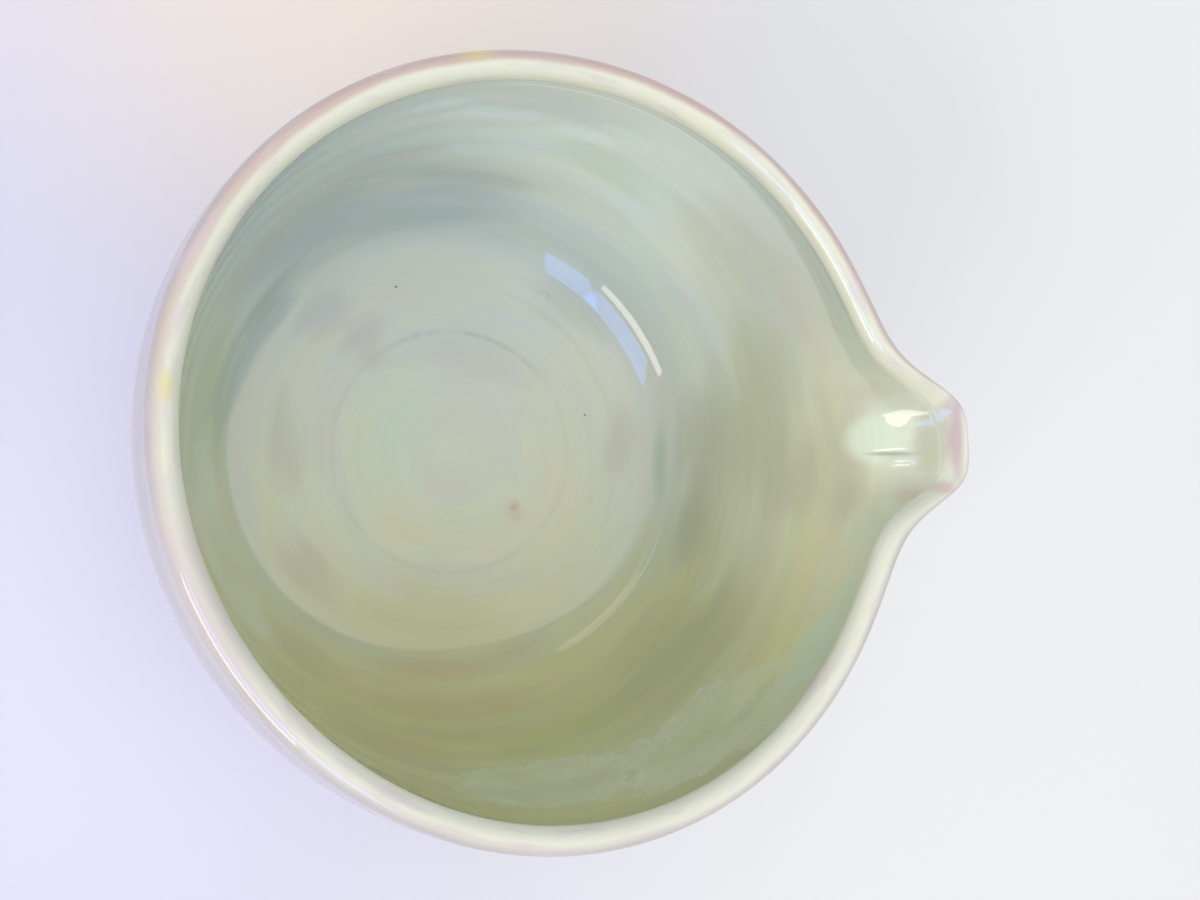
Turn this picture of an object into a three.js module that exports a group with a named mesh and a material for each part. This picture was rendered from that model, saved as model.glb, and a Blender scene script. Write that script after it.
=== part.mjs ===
// A hand-thrown tea bowl with a pouring lip. One wall of clay is thrown on the wheel and its rim is
// pulled out into a spout, a foot ring is luted underneath, and a coat of glaze covers the inside
// and another the outside and the lip. Nothing on it moves.
// Millimetres, +Z up, the table at Z 0, the spout towards +X.
import * as THREE from "three";

// Driving dimensions of the thrown form
const lipRadius = 60.2; // outside of the lip, before the spout is pulled
const lipThickness = 4.4;
const lipLean = 7; // degrees that the lip is turned in
const insideDepth = 64; // from the top of the lip down to the floor
const floorThickness = 7; // under the middle of the floor
const floorRadius = 34; // where the floor starts to turn up
const floorRise = 1; // the floor is a shallow dish
const cornerRadius = 18.5; // between floor and wall
const cornerLean = 14; // degrees from upright, where the wall leaves the corner
const cornerWall = 6; // thickness of the wall there
const wallFullness = 11; // how far the wall holds its direction, above the corner and below the lip
const poolRadius = 24.1; // the round hollow in the middle of the floor, where the last tea gathers
const poolDepth = 0.5;

// Driving dimensions of the spout
const spoutReach = 17.2; // how far the middle of the lip is pulled out
const spoutHalfWidth = 11.3; // from its middle plane to halfway down each shoulder
const spoutDepth = 31; // how far down the wall the pull is felt
const spoutDip = 2.4; // the pouring edge lies this much under the lip
const spoutFlare = 2.1; // power by which the pull grows towards the lip
const spoutShoulder = 4.8; // power of the outline: higher is squarer
const spoutThinning = 0.4; // share of its thickness that the wall loses as it is stretched
const sideSpread = 0.3; // extra half width for each millimetre through the wall

// Driving dimensions of the hand in it
const ovalSwing = 0.95; // how far the lip is out of round, to each side
const ovalDirection = -51; // degrees from the spout to the long axis
const lobeSwing = 0.4; // the same for three shallow lobes
const lobeDirection = 40; // degrees from the spout to one of them
const lipDrift = new THREE.Vector2(1.2, -2.6); // of the lip's centre off the wheel's axis

// Driving dimensions of the foot and the glaze
const footHeight = 5.5;
const footRadius = 34; // outside of the ring, where it meets the body
const footWidth = 7; // width of the ring, where it meets the body
const footTaper = 1; // each side of the ring draws in by this much on the way down
const footEdge = 0.8; // rubbed-down edge round the resting face
const footShelf = 1.6; // of bare body outside the ring
const baseDish = 1.2; // the base is turned this much deeper inside the ring
const baseSlope = 2.5; // width of the slope down to it
const bareBand = 1.8; // of bare clay between the ring and the glaze
const glazeThickness = 0.5;

// Facets
const turnSteps = 66; // round the wheel
const turnCrowding = 0.6; // 0 spaces them evenly, and nearer 1 crowds them towards the spout
const wallSteps = 8; // from the corner up to the lip
const wallCrowding = 1.4; // 1 spaces them evenly, and more crowds them towards the lip
const cornerSteps = 3;
const hipSteps = 5;
const lipSteps = 5;
const footSteps = 48;

const floorZ = footHeight + floorThickness;
const lipTopZ = floorZ + insideDepth;
const lipCentreRadius = lipRadius - lipThickness / 2;

const radians = THREE.MathUtils.degToRad;
const at = (radius, height) => new THREE.Vector2(radius, height);

// Points along a curve, closer together towards its end where crowding is over 1
function steps(curve, count, crowding = 1) {
  return Array.from({ length: count + 1 }, (_, i) => curve.getPoint(1 - (1 - i / count) ** crowding));
}

// Joins stretches of points end to end, each starting where the one before it ended
function join(first, ...others) {
  return [...first, ...others.flatMap((points) => points.slice(1))];
}

// Moves each point of a profile square to it, to the right of the way that it is walked, by depth(point)
function offset(profile, depth) {
  return profile.map((point, i) => {
    const before = profile[Math.max(i - 1, 0)];
    const after = profile[Math.min(i + 1, profile.length - 1)];
    const way = after.clone().sub(before).normalize();
    if (point.x === 0) way.set(1, 0);
    return at(point.x + way.y * depth(point), point.y - way.x * depth(point));
  });
}

// The lip is round, and leans in
const lean = radians(lipLean);
const lipCentre = at(lipCentreRadius, lipTopZ - lipThickness / 2);
const lipInside = at(-Math.cos(lean), -Math.sin(lean)).multiplyScalar(lipThickness / 2).add(lipCentre);
const lipCurve = new THREE.EllipseCurve(
  lipCentre.x,
  lipCentre.y,
  lipThickness / 2,
  lipThickness / 2,
  lean,
  lean + Math.PI,
);

// The finished inside, from the middle of the floor out and up to the inner edge of the lip
const cornerTurn = radians(cornerLean);
const cornerCentre = at(floorRadius, floorZ + floorRise + cornerRadius);
const cornerCurve = new THREE.EllipseCurve(
  cornerCentre.x,
  cornerCentre.y,
  cornerRadius,
  cornerRadius,
  -Math.PI / 2,
  -cornerTurn,
);
const cornerTop = cornerCurve.getPoint(1);
const wallCurve = new THREE.CubicBezierCurve(
  cornerTop,
  at(Math.sin(cornerTurn), Math.cos(cornerTurn)).multiplyScalar(wallFullness).add(cornerTop),
  at(Math.sin(lean), -Math.cos(lean)).multiplyScalar(wallFullness).add(lipInside),
  lipInside,
);
const wallProfile = steps(wallCurve, wallSteps, wallCrowding);
const floorProfile = [
  at(0, floorZ - poolDepth),
  at(poolRadius - poolDepth, floorZ - poolDepth),
  at(poolRadius, floorZ),
  at(floorRadius, floorZ + floorRise),
];
const insideProfile = join(floorProfile, steps(cornerCurve, cornerSteps), wallProfile);

// The finished outside, from the glaze's lower edge up and over the lip to its inner edge:
// it follows the inside wall, thinner towards the lip, and below the corner it curves in to the foot
function wallThickness(point) {
  const share = (point.y - cornerTop.y) / (lipInside.y - cornerTop.y);
  return THREE.MathUtils.lerp(cornerWall, lipThickness, share);
}
const outsideWall = offset(wallProfile, wallThickness);
const hipTop = outsideWall[0];
const hipWay = outsideWall[1].clone().sub(hipTop).normalize();
const hipFoot = at(footRadius + footShelf + glazeThickness, footHeight + bareBand);
const hipCorner = hipTop.clone().addScaledVector(hipWay, (hipFoot.y - hipTop.y) / hipWay.y);
const hipCurve = new THREE.QuadraticBezierCurve(hipFoot, hipCorner, hipTop);
const outsideProfile = join(steps(hipCurve, hipSteps), outsideWall, steps(lipCurve, lipSteps));

// The clay under the glaze: the same two profiles, one coat deeper, meeting in one point at the lip
const finished = join(insideProfile, outsideProfile.toReversed());
const underGlaze = offset(finished, () => glazeThickness);
const clayInside = underGlaze.slice(0, insideProfile.length);
const clayOutside = underGlaze.slice(insideProfile.length - 1).reverse();

// Where a point of the wheel-thrown form ends up. The lip drifts off the axis and out of round, more
// the higher it stands, and the fingers draw the front of it out, down and thinner into the spout.
// throughWall is the place between the inside and the outside of the wall, from its middle at the lip,
// and aside is how far the point lies from the spout's middle plane.
function handmade(radius, angle, height) {
  const rise = THREE.MathUtils.smoothstep(height, floorZ, lipTopZ);
  const oval = ovalSwing * Math.cos(2 * (angle - radians(ovalDirection)));
  const lobes = lobeSwing * Math.cos(3 * (angle - radians(lobeDirection)));
  const reach = radius + (oval + lobes) * rise;
  const place = new THREE.Vector3(reach * Math.cos(angle), reach * Math.sin(angle), height);
  place.x += lipDrift.x * rise;
  place.y += lipDrift.y * rise;

  const throughWall = Math.max(radius - lipCentreRadius, -lipThickness);
  const aside = Math.abs(2 * radius * Math.sin(angle / 2));
  const halfWidth = spoutHalfWidth + sideSpread * throughWall;
  const outline = 1 / (1 + (aside / halfWidth) ** spoutShoulder);
  const throat = THREE.MathUtils.clamp(1 - (lipTopZ - height) / spoutDepth, 0, 1) ** spoutFlare;
  place.x += outline * throat * (spoutReach - spoutThinning * throughWall);
  place.z -= outline * throat * spoutDip;
  return place;
}

// Turns a closed profile on the wheel, then gives it the hand's changes. The steps round the wheel are
// closer together at the spout. Each quad is cut from its lower corner on one step to its higher corner
// on the next, so that a coat's two sides and the clay under it have the same facets.
function thrown(profile) {
  const geometry = new THREE.LatheGeometry(profile, turnSteps);
  const position = geometry.getAttribute("position");
  for (let i = 0; i < position.count; i++) {
    const step = Math.floor(i / profile.length) % turnSteps;
    const even = (2 * Math.PI * step) / turnSteps;
    const angle = even - turnCrowding * Math.sin(even);
    const point = profile[i % profile.length];
    const place = handmade(point.x, angle, point.y);
    position.setXYZ(i, place.x, place.y, place.z);
  }
  const index = [];
  for (let a = 0; a < position.count - profile.length; a++) {
    const j = a % profile.length;
    if (j === profile.length - 1) continue;
    const [b, c, d] = [a + profile.length, a + profile.length + 1, a + 1];
    if (profile[j].y < profile[j + 1].y) index.push(a, b, c, a, c, d);
    else index.push(a, b, d, b, c, d);
  }
  geometry.setIndex(index);
  geometry.computeVertexNormals();
  return geometry;
}

// Pale stoneware, turned under the foot and bare there
function clayBody() {
  const ringInside = footRadius - footWidth;
  const underside = [
    at(0, footHeight + baseDish),
    at(ringInside - baseSlope, footHeight + baseDish),
    at(ringInside, footHeight),
    at(footRadius, footHeight),
    at(footRadius + footShelf, footHeight),
  ];
  const profile = [...underside, ...join(clayOutside, clayInside.toReversed())];
  const material = new THREE.MeshStandardMaterial({ color: 0xd9cfbd, roughness: 0.85, metalness: 0 });
  return named("clay_body", thrown(profile), material);
}

// A ring of the same clay, drawn in towards a flat resting face with its edges rubbed down
function footRing() {
  const outside = footRadius;
  const inside = footRadius - footWidth;
  const profile = [
    at(inside, footHeight),
    at(inside + footTaper, footEdge),
    at(inside + footTaper + footEdge, 0),
    at(outside - footTaper - footEdge, 0),
    at(outside - footTaper, footEdge),
    at(outside, footHeight),
    at(inside, footHeight),
  ];
  const geometry = new THREE.LatheGeometry(profile, footSteps).rotateX(Math.PI / 2);
  const material = new THREE.MeshStandardMaterial({ color: 0xd3c8b4, roughness: 0.9, metalness: 0 });
  return named("foot_ring", geometry, material);
}

// Grey-green celadon over the floor and the wall, up to the inner edge of the lip
function insideGlaze() {
  const profile = [...clayInside, ...insideProfile.toReversed(), clayInside[0]];
  const material = new THREE.MeshStandardMaterial({ color: 0xb6bda3, roughness: 0.12, metalness: 0 });
  return named("inside_glaze", thrown(profile), material);
}

// Creamy white over the lip, the outside and the spout, down to the bare band above the foot
function outsideGlaze() {
  const profile = [clayOutside[0], ...outsideProfile, ...clayOutside.toReversed()];
  const material = new THREE.MeshStandardMaterial({ color: 0xe3e6d3, roughness: 0.12, metalness: 0 });
  return named("outside_glaze", thrown(profile), material);
}

function named(name, geometry, material) {
  const mesh = new THREE.Mesh(geometry, material);
  mesh.name = name;
  return mesh;
}

// The origin lies on the table, under the middle of the bowl and its spout
const bowl = new THREE.Group();
bowl.add(clayBody(), footRing(), insideGlaze(), outsideGlaze());
const middle = new THREE.Box3().setFromObject(bowl).getCenter(new THREE.Vector3());
bowl.position.set(-middle.x, -middle.y, 0);

export default bowl;
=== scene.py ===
import bpy
import numpy as np
from mathutils import Matrix, Vector


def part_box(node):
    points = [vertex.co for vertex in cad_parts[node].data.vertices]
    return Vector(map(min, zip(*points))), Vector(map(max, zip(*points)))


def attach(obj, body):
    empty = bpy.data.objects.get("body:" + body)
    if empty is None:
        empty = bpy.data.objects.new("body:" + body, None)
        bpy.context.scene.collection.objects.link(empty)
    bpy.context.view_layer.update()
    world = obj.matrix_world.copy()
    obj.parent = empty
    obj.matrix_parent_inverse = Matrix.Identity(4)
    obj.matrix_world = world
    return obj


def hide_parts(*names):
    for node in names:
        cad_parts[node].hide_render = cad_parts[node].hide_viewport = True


# A hand-thrown tea bowl with a pulled spout, standing on a pale table.
# Sizes of the bowl are in millimetres, as a potter has them, and turn to metres when a mesh is made.
# A place on it is a turn round the wheel in degrees from the spout, a radius and a height.
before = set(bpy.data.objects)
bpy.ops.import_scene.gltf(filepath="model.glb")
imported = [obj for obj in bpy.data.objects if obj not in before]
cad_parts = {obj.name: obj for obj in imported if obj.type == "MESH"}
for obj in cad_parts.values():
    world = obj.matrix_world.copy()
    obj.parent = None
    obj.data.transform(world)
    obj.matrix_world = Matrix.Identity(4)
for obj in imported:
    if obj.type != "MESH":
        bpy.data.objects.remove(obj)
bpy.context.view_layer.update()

# The thrown body.
# Pale stoneware, thrown on the wheel as one wall, with its lip pulled out into a spout by two fingers.
# It is turned leather-hard underneath and stays bare there, dry and slightly gritty to the touch.
MM = 0.001
lip_radius = 60.2
lip_thickness = 4.4
lip_lean = 7
inside_depth = 64
floor_thickness = 7
floor_radius = 34
floor_rise = 1
corner_radius = 18.5
corner_lean = 14
corner_wall = 6
wall_fullness = 11
wall_crowding = 1.2
pool_radius = 24.1
pool_depth = 0.5
pool_edge = 5.0
spout_reach = 17.2
spout_half_width = 11.3
spout_depth = 31
spout_dip = 2.4
spout_flare = 2.1
spout_shoulder = 4.8
spout_thinning = 0.4
side_spread = 0.3
oval_swing = 0.95
oval_direction = -51
lobe_swing = 0.4
lobe_direction = 40
lip_drift = (1.2, -2.6)
foot_height = 5.5
foot_radius = 34
foot_width = 7
foot_shelf = 1.6
base_dish = 1.2
base_slope = 2.5
bare_band = 1.8
glaze_thickness = 0.5
turn_crowding = 0.6

foot_low, foot_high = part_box("foot_ring")
wheel_axis = (foot_low + foot_high) / 2
wheel_axis.z = 0
floor_z = foot_height + floor_thickness
lip_top = floor_z + inside_depth
lip_centre = np.array((lip_radius - lip_thickness / 2, lip_top - lip_thickness / 2))
lean = np.radians(lip_lean)
corner_turn = np.radians(corner_lean)


def smoothstep(value, low, high):
    share = np.clip((value - low) / (high - low), 0, 1)
    return share * share * (3 - 2 * share)


def arc(centre, radius, start, end, count):
    angle = np.radians(np.linspace(start, end, count + 1))
    return np.asarray(centre) + radius * np.stack([np.cos(angle), np.sin(angle)], axis=1)


def bezier(corners, count, crowding=1):
    """Points of a curve. Crowding over 1 draws them closer together towards its end."""
    share = 1 - (1 - np.linspace(0, 1, count + 1)[:, None]) ** crowding
    rows = [np.asarray(corner, float) for corner in corners]
    while len(rows) > 1:
        rows = [a + (b - a) * share for a, b in zip(rows, rows[1:])]
    return rows[0]


def join(first, *others):
    return np.concatenate([first, *(points[1:] for points in others)])


def offset(profile, depth):
    """Moves a profile to its right-hand side, which is into the wall from the inside."""
    way = np.gradient(profile, axis=0)
    way /= np.linalg.norm(way, axis=1)[:, None]
    way[profile[:, 0] == 0] = (1, 0)
    return profile + np.stack([way[:, 1], -way[:, 0]], axis=1) * np.reshape(depth, (-1, 1))


def inside_profile(floor_steps, corner_steps, wall_steps):
    """The line of the inside, from the middle of the floor up to the lip, as radius and height."""
    radius = np.linspace(0, floor_radius, floor_steps + 1)
    height = floor_z + floor_rise * smoothstep(radius, pool_radius, floor_radius)
    height -= pool_depth * (1 - smoothstep(radius, pool_radius - pool_edge, pool_radius))
    floor = np.stack([radius, height], axis=1)
    centre = (floor_radius, floor_z + floor_rise + corner_radius)
    corner = arc(centre, corner_radius, -90, -corner_lean, corner_steps)
    return join(floor, corner, wall_profile(wall_steps))


def wall_profile(steps):
    centre = np.array((floor_radius, floor_z + floor_rise + corner_radius))
    corner_top = centre + corner_radius * np.array((np.cos(corner_turn), -np.sin(corner_turn)))
    lip_inside = lip_centre - lip_thickness / 2 * np.array((np.cos(lean), np.sin(lean)))
    leaving = corner_top + wall_fullness * np.array((np.sin(corner_turn), np.cos(corner_turn)))
    arriving = lip_inside + wall_fullness * np.array((np.sin(lean), -np.cos(lean)))
    return bezier((corner_top, leaving, arriving, lip_inside), steps, wall_crowding)


def outside_profile(hip_steps, wall_steps, lip_steps):
    """The line of the outside, from above the foot up the wall and over the lip."""
    wall = wall_profile(wall_steps)
    share = (wall[:, 1] - wall[0, 1]) / (wall[-1, 1] - wall[0, 1])
    wall = offset(wall, corner_wall + (lip_thickness - corner_wall) * share)
    way = wall[1] - wall[0]
    foot = np.array((foot_radius + foot_shelf + glaze_thickness, foot_height + bare_band))
    corner = wall[0] + way * (foot[1] - wall[0, 1]) / way[1]
    lip = arc(lip_centre, lip_thickness / 2, lip_lean, lip_lean + 180, lip_steps)
    return join(bezier((foot, corner, wall[0]), hip_steps), wall, lip)


def handmade(radius, angle, height):
    """Where a point of the thrown bowl ends up: its lip is a little uneven, and its front is pulled out."""
    rise = smoothstep(height, floor_z, lip_top)
    oval = oval_swing * np.cos(2 * (angle - np.radians(oval_direction)))
    lobes = lobe_swing * np.cos(3 * (angle - np.radians(lobe_direction)))
    reach = radius + (oval + lobes) * rise
    through_wall = np.maximum(radius - lip_centre[0], -lip_thickness)
    aside = np.abs(2 * radius * np.sin(angle / 2))
    half_width = spout_half_width + side_spread * through_wall
    outline = 1 / (1 + (aside / half_width) ** spout_shoulder)
    throat = np.clip(1 - (lip_top - height) / spout_depth, 0, 1) ** spout_flare
    x = reach * np.cos(angle) + lip_drift[0] * rise
    x += outline * throat * (spout_reach - spout_thinning * through_wall)
    y = reach * np.sin(angle) + lip_drift[1] * rise
    z = height - outline * throat * spout_dip
    return np.stack(np.broadcast_arrays(x, y, z), axis=-1)


def wheel_angles(steps):
    """Even steps round the wheel, drawn closer together towards the spout."""
    even = np.linspace(0, 2 * np.pi, steps, endpoint=False)
    return even - turn_crowding * np.sin(even)


def turned(name, profile, steps, relief=0, along=None, by_hand=handmade):
    """Turns a profile round the wheel. Relief raises it along its normals, and along is kept as a value."""
    angle = wheel_angles(steps)[None, :]
    radius, height = profile[:, :1], profile[:, 1:]
    place = by_hand(radius, angle, height)
    around = np.roll(place, -1, axis=1) - np.roll(place, 1, axis=1)
    out = np.cross(around, np.gradient(place, axis=0))
    on_axis = radius[:, 0] < 1e-9
    out[on_axis] = (0, 0, 1)
    out /= np.maximum(np.linalg.norm(out, axis=2), 1e-12)[:, :, None]
    place = place + out * np.broadcast_to(relief, place.shape[:2])[:, :, None]

    rows = [place[row, :1] if on_axis[row] else place[row] for row in range(len(profile))]
    first = np.cumsum([0] + [len(row) for row in rows])
    faces = []
    for row in range(len(profile) - (1 if on_axis[0] else 0)):
        after = (row + 1) % len(profile)
        here, there = first[row], first[after]
        for step in range(steps):
            beside = (step + 1) % steps
            if on_axis[row]:
                faces.append((here, there + beside, there + step))
            elif on_axis[after]:
                faces.append((here + step, here + beside, there))
            else:
                faces.append((here + step, here + beside, there + beside, there + step))
    mesh = bpy.data.meshes.new(name)
    points = np.concatenate(rows) * MM + np.array(wheel_axis)
    mesh.from_pydata(points.tolist(), [], faces)
    if along is not None:
        values = np.concatenate([np.full(len(rows[row]), along[row]) for row in range(len(profile))])
        held = mesh.attributes.new("along_profile", "FLOAT", "POINT")
        held.data.foreach_set("value", values.astype(np.float32))
    mesh.shade_smooth()
    mesh.set_sharp_from_angle(angle=np.radians(40))
    piece = bpy.data.objects.new(name, mesh)
    bpy.context.scene.collection.objects.link(piece)
    return piece


def add(material, kind, inputs=(), **settings):
    """Adds a node. An input is a value, a socket, or a node, of which it takes the first live output."""
    node = material.node_tree.nodes.new("ShaderNode" + kind)
    for name, value in settings.items():
        setattr(node, name, value)
    for name, value in dict(inputs).items():
        if isinstance(value, bpy.types.Node):
            value = next(output for output in value.outputs if output.enabled)
        if isinstance(value, bpy.types.NodeSocket):
            material.node_tree.links.new(value, node.inputs[name])
        else:
            node.inputs[name].default_value = value
    return node


def linear(hex_colour):
    shown = np.array([int(hex_colour[i:i + 2], 16) for i in (1, 3, 5)]) / 255
    light = np.where(shown <= 0.04045, shown / 12.92, ((shown + 0.055) / 1.055) ** 2.4)
    return (*light.tolist(), 1)


def new_material(name):
    material = bpy.data.materials.new(name)
    material.use_nodes = True
    material.node_tree.nodes.clear()
    return material


body_steps = 240
base_rows = 55
ring_inside = foot_radius - foot_width
under_inside = offset(inside_profile(24, 12, 24), glaze_thickness)
under_outside = offset(outside_profile(16, 24, 8), -glaze_thickness)
under_inside[-1] = under_outside[-1]
base_radius = np.linspace(0, ring_inside, base_rows)
base_height = foot_height + base_dish * (1 - smoothstep(base_radius, ring_inside - base_slope, ring_inside))
shelf = np.array(((foot_radius, foot_height), (foot_radius + foot_shelf, foot_height)))
underside = np.concatenate([np.stack([base_radius, base_height], axis=1), shelf])
body_profile = np.concatenate([underside, join(under_outside, under_inside[::-1])])

# The loop tool leaves shallow rings under the base, one every 2.7 mm
trimming_spacing = 2.7
trimming_depth = 0.05
trimmed = slice(1, base_rows - 4)
trimming_turns = 2 * np.pi * base_radius[trimmed, None] / trimming_spacing
trimming_lines = np.zeros((len(body_profile), body_steps))
trimming_lines[trimmed] = trimming_depth * np.cos(trimming_turns + wheel_angles(body_steps))
thrown_body = turned("thrown_body", body_profile, body_steps, trimming_lines)

# Fired stoneware, bare: dry and matt, oatmeal with a warm cast, and its fine grog shows as darker grains.
# In a Mix node, 6 is the colour underneath and 7 the one laid over it.
stoneware = new_material("bare_stoneware")
blush_size = 22 * MM
grog_size = 0.9 * MM
grit_size = 0.7 * MM
clay_place = add(stoneware, "TexCoord").outputs["Object"]
blush = add(stoneware, "TexNoise", {"Vector": clay_place, "Scale": 1 / blush_size, "Detail": 3})
clay_colour = add(
    stoneware, "Mix", {"Factor": blush, 6: linear("#e2d8c6"), 7: linear("#cdbba2")}, data_type="RGBA"
)
grog = add(stoneware, "TexVoronoi", {"Vector": clay_place, "Scale": 1 / grog_size}).outputs["Color"]
grog_tone = add(stoneware, "MapRange", {"Value": grog, "From Min": 0.55, "From Max": 0.95, "To Max": 0.35})
grainy = add(stoneware, "Mix", {"Factor": grog_tone, 6: clay_colour, 7: linear("#a8957b")}, data_type="RGBA")
grit = add(stoneware, "TexNoise", {"Vector": clay_place, "Scale": 1 / grit_size, "Detail": 4})
gritty = add(stoneware, "Bump", {"Height": grit, "Strength": 0.6, "Distance": 0.1 * MM})
clay_shader = add(stoneware, "BsdfPrincipled", {"Base Color": grainy, "Roughness": 0.82, "Normal": gritty})
add(stoneware, "OutputMaterial", {"Surface": clay_shader})
thrown_body.data.materials.append(stoneware)
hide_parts("clay_body")
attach(thrown_body, "root")

# The foot ring.
# A ring of the same stoneware, luted under the base and trimmed on the wheel with a loop tool.
# It tapers a little downwards, and its edges are rubbed round so that it doesn't scratch a tray.
foot_taper = 1
foot_edge = 0.8
foot_side_rows = 14
foot_line_depth = 0.06
inner_line_spacing = 1.7
outer_line_spacing = 1.9


def foot_side(top, bottom):
    share = np.linspace(0, 1, foot_side_rows + 1)[:, None]
    return np.asarray(top) + (np.asarray(bottom) - np.asarray(top)) * share


worn_inside = arc((ring_inside + foot_taper + foot_edge, foot_edge), foot_edge, 180, 270, 6)
worn_outside = arc((foot_radius - foot_taper - foot_edge, foot_edge), foot_edge, -90, 0, 6)
inner_side = foot_side((ring_inside, foot_height), worn_inside[0])
outer_side = foot_side(worn_outside[-1], (foot_radius, foot_height))
foot_profile = np.concatenate([join(inner_side, worn_inside), join(worn_outside, outer_side)])
foot_lines = np.zeros((len(foot_profile), body_steps))
inner_rows = slice(2, foot_side_rows - 1)
outer_rows = slice(1 - foot_side_rows, -2)
for rows, spacing in ((inner_rows, inner_line_spacing), (outer_rows, outer_line_spacing)):
    line_turns = 2 * np.pi * foot_profile[rows, 1:] / spacing
    foot_lines[rows] = foot_line_depth * np.cos(line_turns + wheel_angles(body_steps))


def straight(radius, angle, height):
    x, y = radius * np.cos(angle), radius * np.sin(angle)
    return np.stack(np.broadcast_arrays(x, y, height), axis=-1)


turned_foot = turned("turned_foot", foot_profile, body_steps, foot_lines, by_hand=straight)
turned_foot.data.materials.append(stoneware)
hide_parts("foot_ring")
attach(turned_foot, "root")

# The inside glaze.
# A pale celadon poured in and swilled round, glassy and half a millimetre thick, with a lustre over it
# that goes from lilac through mint to straw yellow. Finger marks of the throwing show through it.
glaze_steps = 480
inside = inside_profile(80, 70, 120)
inside_path = np.concatenate([[0], np.cumsum(np.linalg.norm(np.diff(inside, axis=0), axis=1))])[:, None]
angle = wheel_angles(glaze_steps)[None, :]
glazed = handmade(inside[:, :1], angle, inside[:, 1:])
glazed_x, glazed_y = np.moveaxis(glazed, 2, 0)[:2]
glazed_turn = np.degrees(np.arctan2(glazed_y, glazed_x))
glazed_radius = np.hypot(glazed_x, glazed_y)


def hump(distance, half_width):
    return np.exp(-((distance / half_width) ** 2))


def between(value, low, high, soft):
    return smoothstep(value, low - soft, low + soft) * (1 - smoothstep(value, high - soft, high + soft))


# Throwing: a fine spiral on the floor, broad finger waves up the wall
spiral_spacing = 1.9
spiral_height = 0.010
finger_spacing = 8.6
finger_height = 0.04
spiral = np.cos(2 * np.pi * inside_path / spiral_spacing + angle)
fingers = np.cos(2 * np.pi * inside_path / finger_spacing + angle + 0.8 * np.sin(2 * angle + 1))
relief = spiral_height * spiral * between(inside_path, 3, 36, 2)
relief = relief + finger_height * fingers * between(inside_path, 60, 96, 6)

# The floor ends in a low step, which winds inwards at the front and fades at the back right
edge_radius = 43.7
edge_dip = 4.9
edge_dip_turn = -84
edge_dip_width = 45
step_depth = 0.16
past_edge = glazed_radius - edge_radius + edge_dip * hump(glazed_turn - edge_dip_turn, edge_dip_width)
step = smoothstep(past_edge, -0.6, 0.6) * (1 - smoothstep(past_edge, 1, 7))
relief -= step_depth * (1 - 0.9 * between(glazed_turn, -12, 105, 14)) * step

# A leaf-shaped fold lies beside the step, and a shallow ring runs round the hollow
leaf_radius = 45.5
leaf_bend = 0.9
leaf_turn = -42
leaf_width = 23
leaf_height = 0.05
ring_depth = 0.03
leaf_line = leaf_radius - leaf_bend * ((glazed_turn - leaf_turn) / leaf_width) ** 2
on_leaf = between(glazed_turn, leaf_turn - leaf_width, leaf_turn + leaf_width, 4)
leaf_side = np.where(glazed_radius < leaf_line, 6.0, 0.6)
relief += leaf_height * on_leaf * hump(glazed_radius - leaf_line, leaf_side)
relief -= ring_depth * hump(glazed_radius - pool_radius, 0.8) * (0.6 + 0.4 * np.cos(2 * (angle - 1.75)))

# Bumps in the floor, and a burst bubble that left a rise and a pit: turn, radius, half width, height
bumps = (
    (106.5, 23.9, 0.7, 0.48),
    (58.3, 37.8, 0.7, 0.45),
    (62.0, 36.4, 0.7, 0.30),
    (-142.1, 38.3, 1.0, 0.42),
    (-146.5, 37.7, 0.8, 0.30),
    (-20.1, 30.6, 0.5, 0.30),
    (-41.0, 16.2, 0.9, 0.55),
    (-44.0, 17.6, 0.7, -0.20),
)
for turn, out_to, half_width, height in bumps:
    x, y = out_to * np.cos(np.radians(turn)), out_to * np.sin(np.radians(turn))
    relief += height * hump(np.hypot(glazed_x - x, glazed_y - y), half_width)

# A thin crease under the lip at the back, where it turns into a shallow undercut beside the spout
crease_depth = 0.14
undercut_depth = 0.12
under_lip = inside_path[-1] - inside_path
crease_line = 2.2 + 0.045 * np.maximum(72 - glazed_turn, 0)
relief -= crease_depth * hump(under_lip - crease_line, 0.32) * between(glazed_turn, 22, 98, 6)
undercut = smoothstep(under_lip, 0.2, 1.2) * (1 - smoothstep(under_lip - crease_line, -0.4, 0.4))
relief -= undercut_depth * undercut * between(glazed_turn, 20, 62, 9)

# The spout's throat: a pool of thick glaze, a ridge and the crease of the pulling finger, a fold beside it
throat_middle = 64
throat_pool_height = 0.10
ridge_height = 0.24
finger_crease_depth = 0.16
fold_height = 0.62
along_throat = glazed_x - throat_middle
relief += throat_pool_height * hump(along_throat, 9) * hump(glazed_y + 0.2, 3.6)
ridge_start = 0.15 * np.sin(0.9 * glazed_x) - 0.35
ridge = smoothstep(glazed_y - ridge_start, 0, 2.8) * (1 - smoothstep(glazed_y, 4.5, 10.5))
relief += ridge_height * ridge * between(glazed_x, 63.5, 73, 2.8)
finger_crease = hump(glazed_y + 3.9 - 0.04 * along_throat, 0.5)
relief -= finger_crease_depth * finger_crease * between(glazed_x, 62.5, 68.5, 1.6)
relief += fold_height * hump(glazed_y + 5.4, 0.75) * between(glazed_x, 65.2, 68.4, 0.9)
relief = relief * smoothstep(under_lip, 0, 0.8)

inside_loop = np.concatenate([under_inside, inside[::-1]])
inside_relief = np.concatenate([np.zeros((len(under_inside), glaze_steps)), relief[::-1]])
from_seam = np.concatenate([np.zeros(len(under_inside)), under_lip[::-1, 0]])
inside_coat = turned("inside_coat", inside_loop, glaze_steps, inside_relief, from_seam)

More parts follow.
